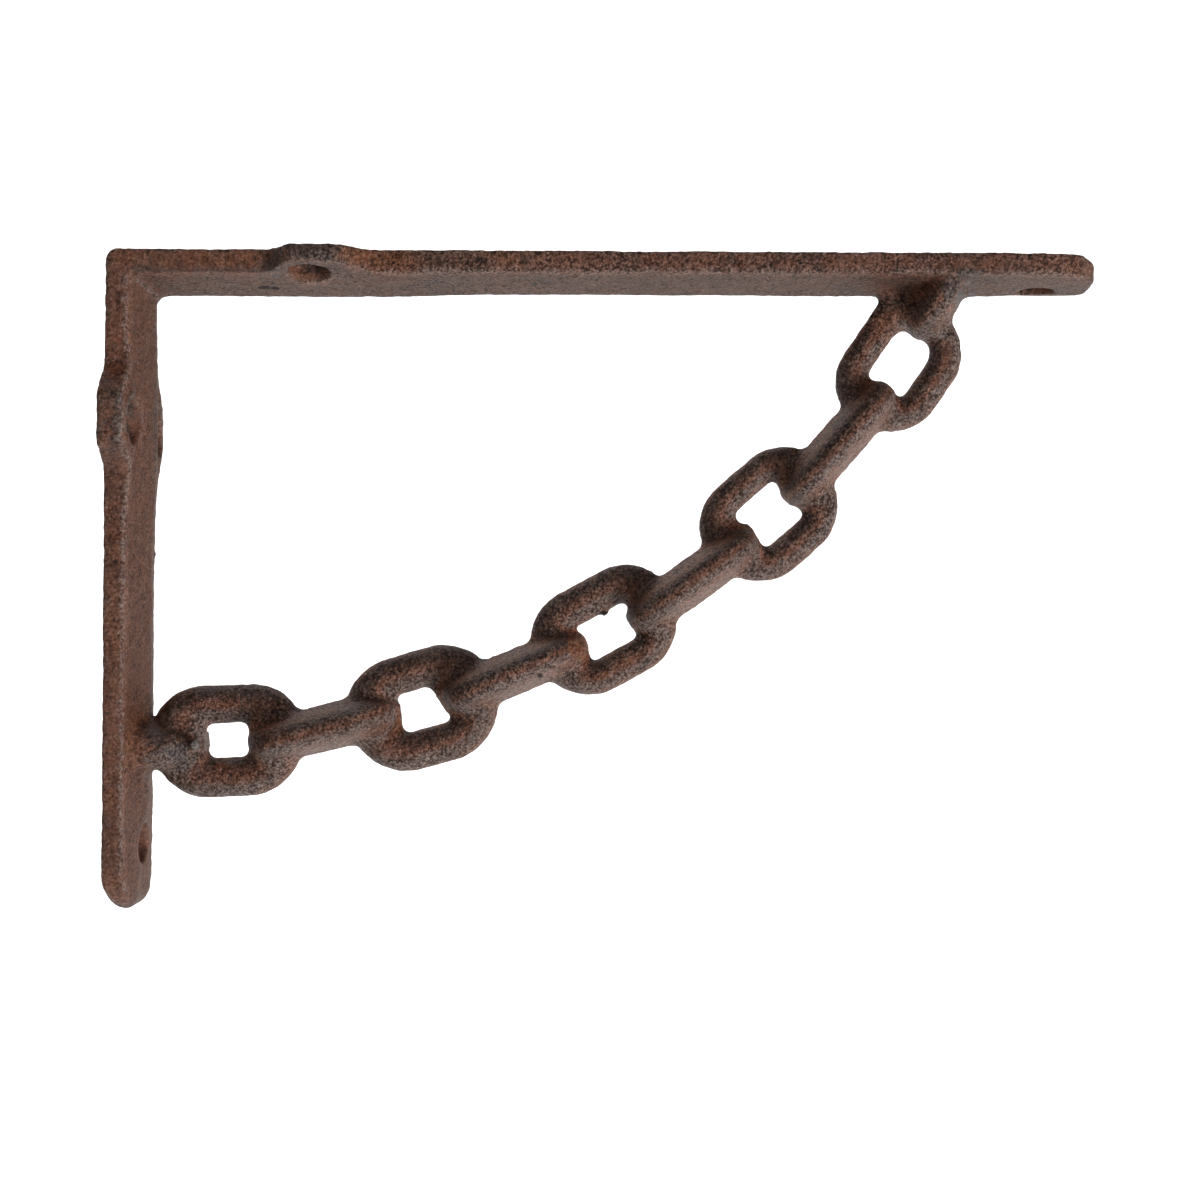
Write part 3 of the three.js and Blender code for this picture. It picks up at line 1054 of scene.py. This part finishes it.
class Nodes:
    """A shader node tree, with short names for the nodes that the finish needs."""

    def __init__(self, tree):
        self.tree = tree

    def feed(self, socket, value):
        """Links a socket to what another node puts out, or sets its value."""
        if isinstance(value, bpy.types.NodeSocket):
            self.tree.links.new(value, socket)
        else:
            socket.default_value = value

    def add(self, kind, inputs=None, **values):
        """Adds a node, sets its options and fills its inputs by name or number."""
        node = self.tree.nodes.new(kind)
        for name, value in values.items():
            setattr(node, name, value)
        for name, value in (inputs or {}).items():
            self.feed(node.inputs[name], value)
        return node

    def math(self, operation, first, second, clamp=False):
        node = self.add("ShaderNodeMath", {0: first, 1: second}, operation=operation)
        node.use_clamp = clamp
        return node.outputs[0]

    def times(self, *values, clamp=False):
        """The product of some masks or numbers, held between 0 and 1 if asked."""
        product, *others = values
        for other in others:
            product = self.math("MULTIPLY", product, other, clamp)
        return product

    def plus(self, first, second, clamp=False):
        return self.math("ADD", first, second, clamp)

    def most(self, first, second):
        return self.math("MAXIMUM", first, second)

    def rest(self, mask):
        """What a mask leaves over."""
        return self.math("SUBTRACT", 1.0, mask, clamp=True)

    def ramp(self, value, low, high, start=0.0, end=1.0):
        """Goes smoothly from start to end while a value goes from low to high."""
        node = self.add("ShaderNodeMapRange", {
            "Value": value, "From Min": low, "From Max": high, "To Min": start, "To Max": end,
        }, clamp=True)
        node.interpolation_type = "SMOOTHSTEP"
        return node.outputs["Result"]

    def vector(self, operation, first, second):
        inputs = {0: first, 1: second}
        return self.add("ShaderNodeVectorMath", inputs, operation=operation).outputs["Vector"]

    def shade(self, colour, amount):
        """A colour made darker or lighter by a number."""
        inputs = {0: colour, "Scale": amount}
        return self.add("ShaderNodeVectorMath", inputs, operation="SCALE").outputs["Vector"]

    def lay(self, base, value, mask):
        """A colour laid over the finish so far, where a mask says."""
        node = self.add("ShaderNodeMix", data_type="RGBA")
        sockets = {"Factor_Float": mask, "A_Color": base, "B_Color": opaque(value)}
        for name, given in sockets.items():
            self.feed(next(s for s in node.inputs if s.identifier == name), given)
        return next(s for s in node.outputs if s.identifier == "Result_Color")

    def group(self, which, inputs):
        """What a shader group puts out, fed with the given inputs."""
        node = self.add("ShaderNodeGroup", node_tree=which)
        for name, value in inputs.items():
            self.feed(node.inputs[name], value)
        return node.outputs[0]


def start_group(name, output, vectors, numbers):
    """An empty shader group: its nodes, what goes into it and the one number out of it."""
    tree = bpy.data.node_groups.new(name, "ShaderNodeTree")
    for label in vectors:
        tree.interface.new_socket(label, in_out="INPUT", socket_type="NodeSocketVector")
    for label, default in numbers.items():
        socket = tree.interface.new_socket(label, in_out="INPUT", socket_type="NodeSocketFloat")
        socket.default_value = default
    tree.interface.new_socket(output, in_out="OUTPUT", socket_type="NodeSocketFloat")
    given = tree.nodes.new("NodeGroupInput").outputs
    return Nodes(tree), given, tree.nodes.new("NodeGroupOutput").inputs[output]


def mottle_group():
    """Blotches of one finish over another, with ragged edges."""
    nodes, given, mask = start_group("rust_mottle", "Mask", ["Place"], {"Size": 100, "Cover": 0.5})
    blotch = nodes.add("ShaderNodeTexNoise", {
        "Vector": given["Place"], "Scale": given["Size"], "Detail": 6.0, "Roughness": 0.62,
        "Distortion": 0.6,
    })
    low = nodes.math("SUBTRACT", 0.87, given["Cover"])
    high = nodes.plus(low, 0.22)
    nodes.feed(mask, nodes.ramp(blotch.outputs["Fac"], low, high))
    return nodes.tree


def grain_group():
    """Sand grain, coarse to fine, round nought: high on the grains and low between them."""
    nodes, given, height = start_group("sand_grain", "Height", ["Place"], {"Size": 1000})
    rough = nodes.add("ShaderNodeTexNoise", {
        "Vector": given["Place"], "Scale": given["Size"], "Detail": 2.0, "Roughness": 0.9,
    })
    cells = nodes.add("ShaderNodeTexVoronoi", {
        "Vector": given["Place"], "Scale": given["Size"], "Randomness": 1.0,
    })
    cell_height = nodes.times(cells.outputs["Distance"], 0.3)
    grains = nodes.math("SUBTRACT", rough.outputs["Fac"], cell_height)
    nodes.feed(height, nodes.math("SUBTRACT", grains, 0.36))
    return nodes.tree


def spot_group():
    """A ragged spot round a point."""
    nodes, given, mask = start_group("ragged_spot", "Mask", ["Place", "Centre", "Half Size"], {})
    offset = nodes.vector("SUBTRACT", given["Place"], given["Centre"])
    offset = nodes.vector("DIVIDE", offset, given["Half Size"])
    reach = nodes.add("ShaderNodeVectorMath", {0: offset}, operation="LENGTH")
    ragged = nodes.add("ShaderNodeTexNoise", {
        "Vector": given["Place"], "Scale": 1400.0, "Detail": 2.0,
    })
    uneven = nodes.plus(reach.outputs["Value"], ragged.outputs["Fac"])
    nodes.feed(mask, nodes.ramp(uneven, 1.6, 1.3))
    return nodes.tree


class CastIron(Nodes):
    """The masks of the finish, made from what the surface is marked with."""

    def __init__(self, tree):
        super().__init__(tree)
        self.place = tree.nodes.new("ShaderNodeTexCoord").outputs["Object"]
        marks = [self.add("ShaderNodeAttribute", attribute_name=name).outputs["Fac"]
                 for name in MARKS]
        self.near, self.far, self.front, self.under, self.chain = marks[:5]
        self.lean, self.hole, self.burr, self.stain, self.fine = marks[5:]
        self.mottle = mottle_group()
        self.spot = spot_group()
        grain = grain_group()
        self.sand = self.group(grain, {"Place": self.place, "Size": 1800.0})
        self.lumps = self.group(grain, {"Place": self.place, "Size": 520.0})

    def blotches(self, size, cover):
        return self.group(self.mottle, {"Place": self.place, "Size": size, "Cover": cover})

    def ragged_spot(self, centre, half):
        return self.group(self.spot, {
            "Place": self.place, "Centre": Vector(centre) * MM, "Half Size": Vector(half) * MM,
        })

    def fresh_rust(self):
        """Patches of fresh rust, and the stains"""
        return self.most(self.times(self.stain, 0.9, clamp=True),
                         self.times(self.blotches(150.0, 0.42), 0.6))

    def wall_face(self):
        """The inner face of the wall arm"""
        return self.times(self.ramp(self.front, 0.6, 0.15), self.ramp(self.under, 0.5, 0.1),
                          self.ramp(self.chain, 0.5, 0.0, 0.0, 0.7))

    def lit_and_worn_undersides(self):
        """Wear and painted light from below on what faces down, above all on the chain"""
        return self.times(self.under, self.ramp(self.chain, 0.0, 1.0, 0.36, 0.6))

    def dark_scale(self):
        """Scale, more of it on the fronts, in the dark stains and in the painted shadows, none on
        fresh rust
        """
        dark_stain = self.times(self.stain, -0.3, clamp=True)
        cover = self.plus(self.ramp(self.front, 0.3, 0.95, 0.24, 0.34), dark_stain)
        return self.times(self.blotches(330.0, cover), self.ramp(self.stain, 0.3, 1.0, 1.0, 0.3))

    def plain_chain(self):
        """The chain, where it isn't freshly rusted"""
        return self.times(self.chain, self.ramp(self.stain, 0.3, 1.0, 1.0, 0.0))

    def painted_shoulder_shade(self):
        """Painted shade on the chain's upper shoulders, the sides turned away from the light,
        broken up by the lumps
        """
        return self.times(self.ramp(self.lean, 0.0, 0.4), self.ramp(self.lean, 0.95, 0.7),
                          self.plain_chain(), self.ramp(self.lumps, -0.2, 0.08, 0.4, 0.72))

    def painted_low_sheen(self):
        """Painted sheen on the lower sides of the chain, the sides that face the light, broken up
        by the sand
        """
        return self.times(self.ramp(self.lean, -0.05, -0.35), self.ramp(self.lean, -0.9, -0.6),
                          self.plain_chain(), self.ramp(self.sand, -0.14, 0.08, 0.1, 0.65))

    def rubbed_tops(self):
        """High spots, where the lumps stand up"""
        return self.times(self.ramp(self.near, -0.15, -1.1),
                          self.ramp(self.lumps, -0.08, 0.12, 0.15, 1.0), 0.45)

    def rusty_hollows(self):
        """Broad hollows, less of them inside the screw holes"""
        return self.times(self.ramp(self.far, 0.2, 1.2), 0.75,
                          self.ramp(self.rest(self.hole), 0.0, 1.0, 0.4, 1.0))

    def burrs(self, amount):
        """The pale burrs with the painted highlight on the mitre, or with an amount below nought
        the dark edges, broken up by the sand
        """
        return self.times(self.times(self.burr, amount, clamp=True),
                          self.ramp(self.sand, -0.12, 0.1, 0.15, 1.0))

    def roughness(self):
        """How coarse the sand was: most on the fronts and the chain, least in the holes"""
        rough = self.most(self.ramp(self.front, 0.25, 0.8, 0.7, 1.0), self.times(self.chain, 0.8))
        calm = self.times(self.fine, self.ramp(self.front, 0.25, 0.8, 0.0, 0.4))
        calm = self.most(calm, self.times(self.hole, 0.6))
        return self.times(rough, self.rest(calm))

    def speckle(self, rough):
        """How much lighter or darker each grain is"""
        coarser = self.ramp(self.blotches(120.0, 0.45), 0.0, 1.0, 4.2, 6.2)
        speckle = self.plus(self.times(self.sand, coarser), self.times(self.lumps, 1.3))
        return self.most(self.plus(self.times(speckle, rough), 1.0), 0.2)

    def painted_face_shade(self):
        """Painted shade: the arms' inner faces darker than their fronts, the chain left as it is"""
        return self.most(self.ramp(self.front, 0.15, 0.6, 0.56, 0.95), self.chain)

    def dirt_and_shade(self):
        """Dirt and painted shade in the pits and deep in the hollows, but not inside the screw
        holes
        """
        pits = self.times(self.ramp(self.near, 0.25, 1.1), 0.55)
        deep = self.times(self.ramp(self.far, 1.5, 3.2), 0.75)
        dark = self.times(self.most(pits, deep), self.rest(self.hole))
        for centre, half in PITS:
            dark = self.most(dark, self.ragged_spot(centre, half))
        return dark

    def nub_highlight(self):
        """Painted highlight on the lit end of the one nub"""
        return self.times(self.ragged_spot(*NUB_HIGHLIGHT), self.ramp(self.sand, -0.15, 0.08, 0.3, 0.85))

    def relief(self, rough):
        """The bumps of the lumps with those of the sand on them"""
        lumps = self.add("ShaderNodeBump", {
            "Strength": rough, "Distance": 0.5 * MM, "Height": self.lumps,
        })
        sand = self.add("ShaderNodeBump", {
            "Strength": rough, "Distance": 0.42 * MM, "Height": self.sand,
            "Normal": lumps.outputs["Normal"],
        })
        return sand.outputs["Normal"]


def rusted_cast_iron():
    """Brown rust over dark scale, rubbed grey on the high spots and orange in the hollows, with
    painted light and shade laid in: shade on the chain's upper shoulders, on the arms' inner faces
    and deep in the hollows, a sheen low on the chain, light on what faces down, and highlights on
    the mitre and on one nub.
    """
    colours = settings().finish
    material = bpy.data.materials.new(SLOT)
    material.use_nodes = True
    material.node_tree.nodes.clear()
    iron = CastIron(material.node_tree)
    scale = iron.dark_scale()
    rubbed = iron.rubbed_tops()
    rough = iron.roughness()
    dirt_and_shade = iron.dirt_and_shade()

    base = iron.lay(opaque(colours.rust), colours.umber, iron.blotches(85.0, 0.42))
    base = iron.lay(base, colours.orange, iron.fresh_rust())
    base = iron.lay(base, colours.orange, iron.wall_face())
    # Wear and painted light from below on the undersides.
    base = iron.lay(base, colours.rubbed, iron.lit_and_worn_undersides())
    base = iron.lay(base, colours.slate, iron.times(scale, 0.72))
    # Painted shade: slate laid on the chain's upper shoulders.
    base = iron.lay(base, colours.slate, iron.painted_shoulder_shade())
    # Painted sheen: a blue-grey highlight on the chain's lower sides.
    base = iron.lay(base, colours.painted_sheen, iron.painted_low_sheen())
    base = iron.lay(base, colours.rubbed, rubbed)
    base = iron.lay(base, colours.orange, iron.rusty_hollows())
    # Pale burrs, and the painted highlight along the mitre.
    base = iron.lay(base, colours.pale_burr_and_highlight, iron.burrs(0.42))
    base = iron.lay(base, colours.slate, iron.burrs(-0.9))
    base = iron.lay(base, colours.rubbed, iron.times(iron.ramp(iron.sand, 0.02, 0.14), rough, 0.45))
    base = iron.shade(base, iron.speckle(rough))
    # Painted shade on the arms' inner faces.
    base = iron.shade(base, iron.painted_face_shade())
    # Dirt and painted shade in the pits and deep hollows.
    base = iron.lay(base, colours.shade, dirt_and_shade)
    # Painted highlight on the nub.
    base = iron.lay(base, colours.pale_burr_and_highlight, iron.nub_highlight())

    gloss = iron.plus(iron.ramp(scale, 0.0, 1.0, 0.58, 0.42), iron.times(dirt_and_shade, 0.2), clamp=True)
    shader = iron.add("ShaderNodeBsdfPrincipled", {
        "Base Color": base, "Roughness": gloss, "Metallic": iron.times(rubbed, 0.3, clamp=True),
        "Specular IOR Level": 0.25, "Normal": iron.relief(rough),
    })
    iron.add("ShaderNodeOutputMaterial", {"Surface": shader.outputs["BSDF"]})
    return material


# Stage


def pale_floor_material():
    """Pale and matt, and lifted where it is looked at, so that it shows plain from every side."""
    material = bpy.data.materials.new("pale_floor")
    material.use_nodes = True
    nodes = Nodes(material.node_tree)
    colour = opaque(settings().stage.floor_colour)
    seen = nodes.add("ShaderNodeLightPath").outputs["Is Camera Ray"]
    shader = nodes.tree.nodes["Principled BSDF"]
    looks = {
        "Base Color": colour, "Roughness": 0.9, "Emission Color": colour,
        "Emission Strength": nodes.ramp(seen, 0.0, 1.0, 0.0, 0.6),
    }
    for name, value in looks.items():
        nodes.feed(shader.inputs[name], value)
    return material


def make_floor():
    """A pale floor whose far edge turns up on every side, so that no horizon shows."""
    sizes = settings().stage
    level = LOW.z - sizes.floor_below
    shape = bmesh.new()
    start = shape.verts.new((0, 0, level))
    edge = shape.verts.new((sizes.floor_radius, 0, level))
    profile = [shape.edges.new((start, edge))]
    last = edge
    steps = 14
    for step in range(1, steps + 1):
        turn = math.radians(90) * step / steps
        x = sizes.floor_radius + sizes.sweep_height * math.sin(turn)
        z = level + sizes.sweep_height * (1 - math.cos(turn))
        vert = shape.verts.new((x, 0, z))
        profile.append(shape.edges.new((last, vert)))
        last = vert
    spin_round(shape, shape.verts[:] + profile, axis=(0, 0, 1), steps=72)
    bmesh.ops.remove_doubles(shape, verts=shape.verts, dist=1e-6)
    bmesh.ops.recalc_face_normals(shape, faces=shape.faces)
    if any(f.normal.z < -0.5 for f in shape.faces):
        bmesh.ops.reverse_faces(shape, faces=shape.faces)
    bmesh.ops.translate(shape, verts=shape.verts, vec=(PROJECTION / 2, 0, 0))
    for face in shape.faces:
        face.smooth = True
    floor = add_object("floor", shape)
    floor.data.materials.append(pale_floor_material())


def make_camera(scene):
    sizes = settings().stage
    data = bpy.data.cameras.new("camera")
    data.sensor_width = 36
    data.lens = sizes.lens
    data.clip_start = 0.01
    camera = bpy.data.objects.new("camera", data)
    lift = math.radians(90 + sizes.camera_lift)
    turn = math.radians(sizes.camera_turn)
    roll = math.radians(sizes.camera_roll)
    place = Matrix.Translation((sizes.camera_out, -sizes.camera_away, sizes.camera_up))
    camera.matrix_world = (place @ Matrix.Rotation(turn, 4, "Z") @ Matrix.Rotation(lift, 4, "X")
                           @ Matrix.Rotation(roll, 4, "Z"))
    scene.collection.objects.link(camera)
    scene.camera = camera


def add_lamp(scene, name, place, target, size, power):
    """A soft square lamp that faces a point."""
    data = bpy.data.lights.new(name, "AREA")
    data.shape = "SQUARE"
    data.size = size
    data.energy = power
    lamp = bpy.data.objects.new(name, data)
    lamp.visible_camera = False
    lamp.location = place
    lamp.rotation_euler = (Vector(target) - Vector(place)).to_track_quat("-Z", "Y").to_euler()
    scene.collection.objects.link(lamp)


def studio_world():
    """White all round: faint as a light, and bright where the camera sees it."""
    world = bpy.data.worlds.new("studio")
    world.use_nodes = True
    nodes = Nodes(world.node_tree)
    seen = nodes.add("ShaderNodeLightPath").outputs["Is Camera Ray"]
    sky = nodes.tree.nodes["Background"]
    nodes.feed(sky.inputs["Color"], (1, 1, 1, 1))
    nodes.feed(sky.inputs["Strength"], nodes.ramp(seen, 0.0, 1.0, 0.2, 0.92))
    return world


class BRACKET_OT_stage(bpy.types.Operator):
    """Set up the camera, the pale floor and the studio lamps"""

    bl_idname = "bracket.stage"
    bl_label = "Stage"

    def execute(self, context):
        scene = context.scene
        make_camera(scene)
        make_floor()
        scene.world = studio_world()
        centre = (LOW + HIGH) / 2
        for name, place, target, size, power in LAMPS:
            add_lamp(scene, name, place, target or centre, size, power)
        scene.view_settings.view_transform = "Standard"
        return {"FINISHED"}


class BRACKET_PT_panel(bpy.types.Panel):
    """The bracket's sizes, colours and steps"""

    bl_idname = "BRACKET_PT_panel"
    bl_label = "Chain shelf bracket"
    bl_space_type = "VIEW_3D"
    bl_region_type = "UI"
    bl_category = "Bracket"

    def draw(self, context):
        layout = self.layout
        bracket = context.scene.bracket
        for name in ("arms", "chain", "casting", "finish", "stage"):
            box = layout.box()
            box.label(text=name.capitalize())
            part = getattr(bracket, name)
            for size in part.bl_rna.properties.keys():
                if size not in ("rna_type", "name"):
                    box.prop(part, size)
        for step in STEPS:
            layout.operator(step.bl_idname)


STEPS = (
    BRACKET_OT_stage,
    BRACKET_OT_arms,
    BRACKET_OT_ring_links,
    BRACKET_OT_web_links,
    BRACKET_OT_flash,
    BRACKET_OT_casting,
)
CLASSES = (
    ArmSizes, ChainSizes, CastingSizes, FinishColours, StageSizes, BracketSettings,
    *STEPS, BRACKET_PT_panel,
)


def register():
    for cls in CLASSES:
        bpy.utils.register_class(cls)
    bpy.types.Scene.bracket = PointerProperty(type=BracketSettings)


def unregister():
    del bpy.types.Scene.bracket
    for cls in reversed(CLASSES):
        bpy.utils.unregister_class(cls)


def main():
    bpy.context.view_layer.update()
    register()
    bpy.ops.bracket.stage()
    bpy.ops.bracket.arms()
    bpy.ops.bracket.ring_links()
    bpy.ops.bracket.web_links()
    bpy.ops.bracket.flash()
    bpy.ops.bracket.casting()


if __name__ == "__main__":
    main()
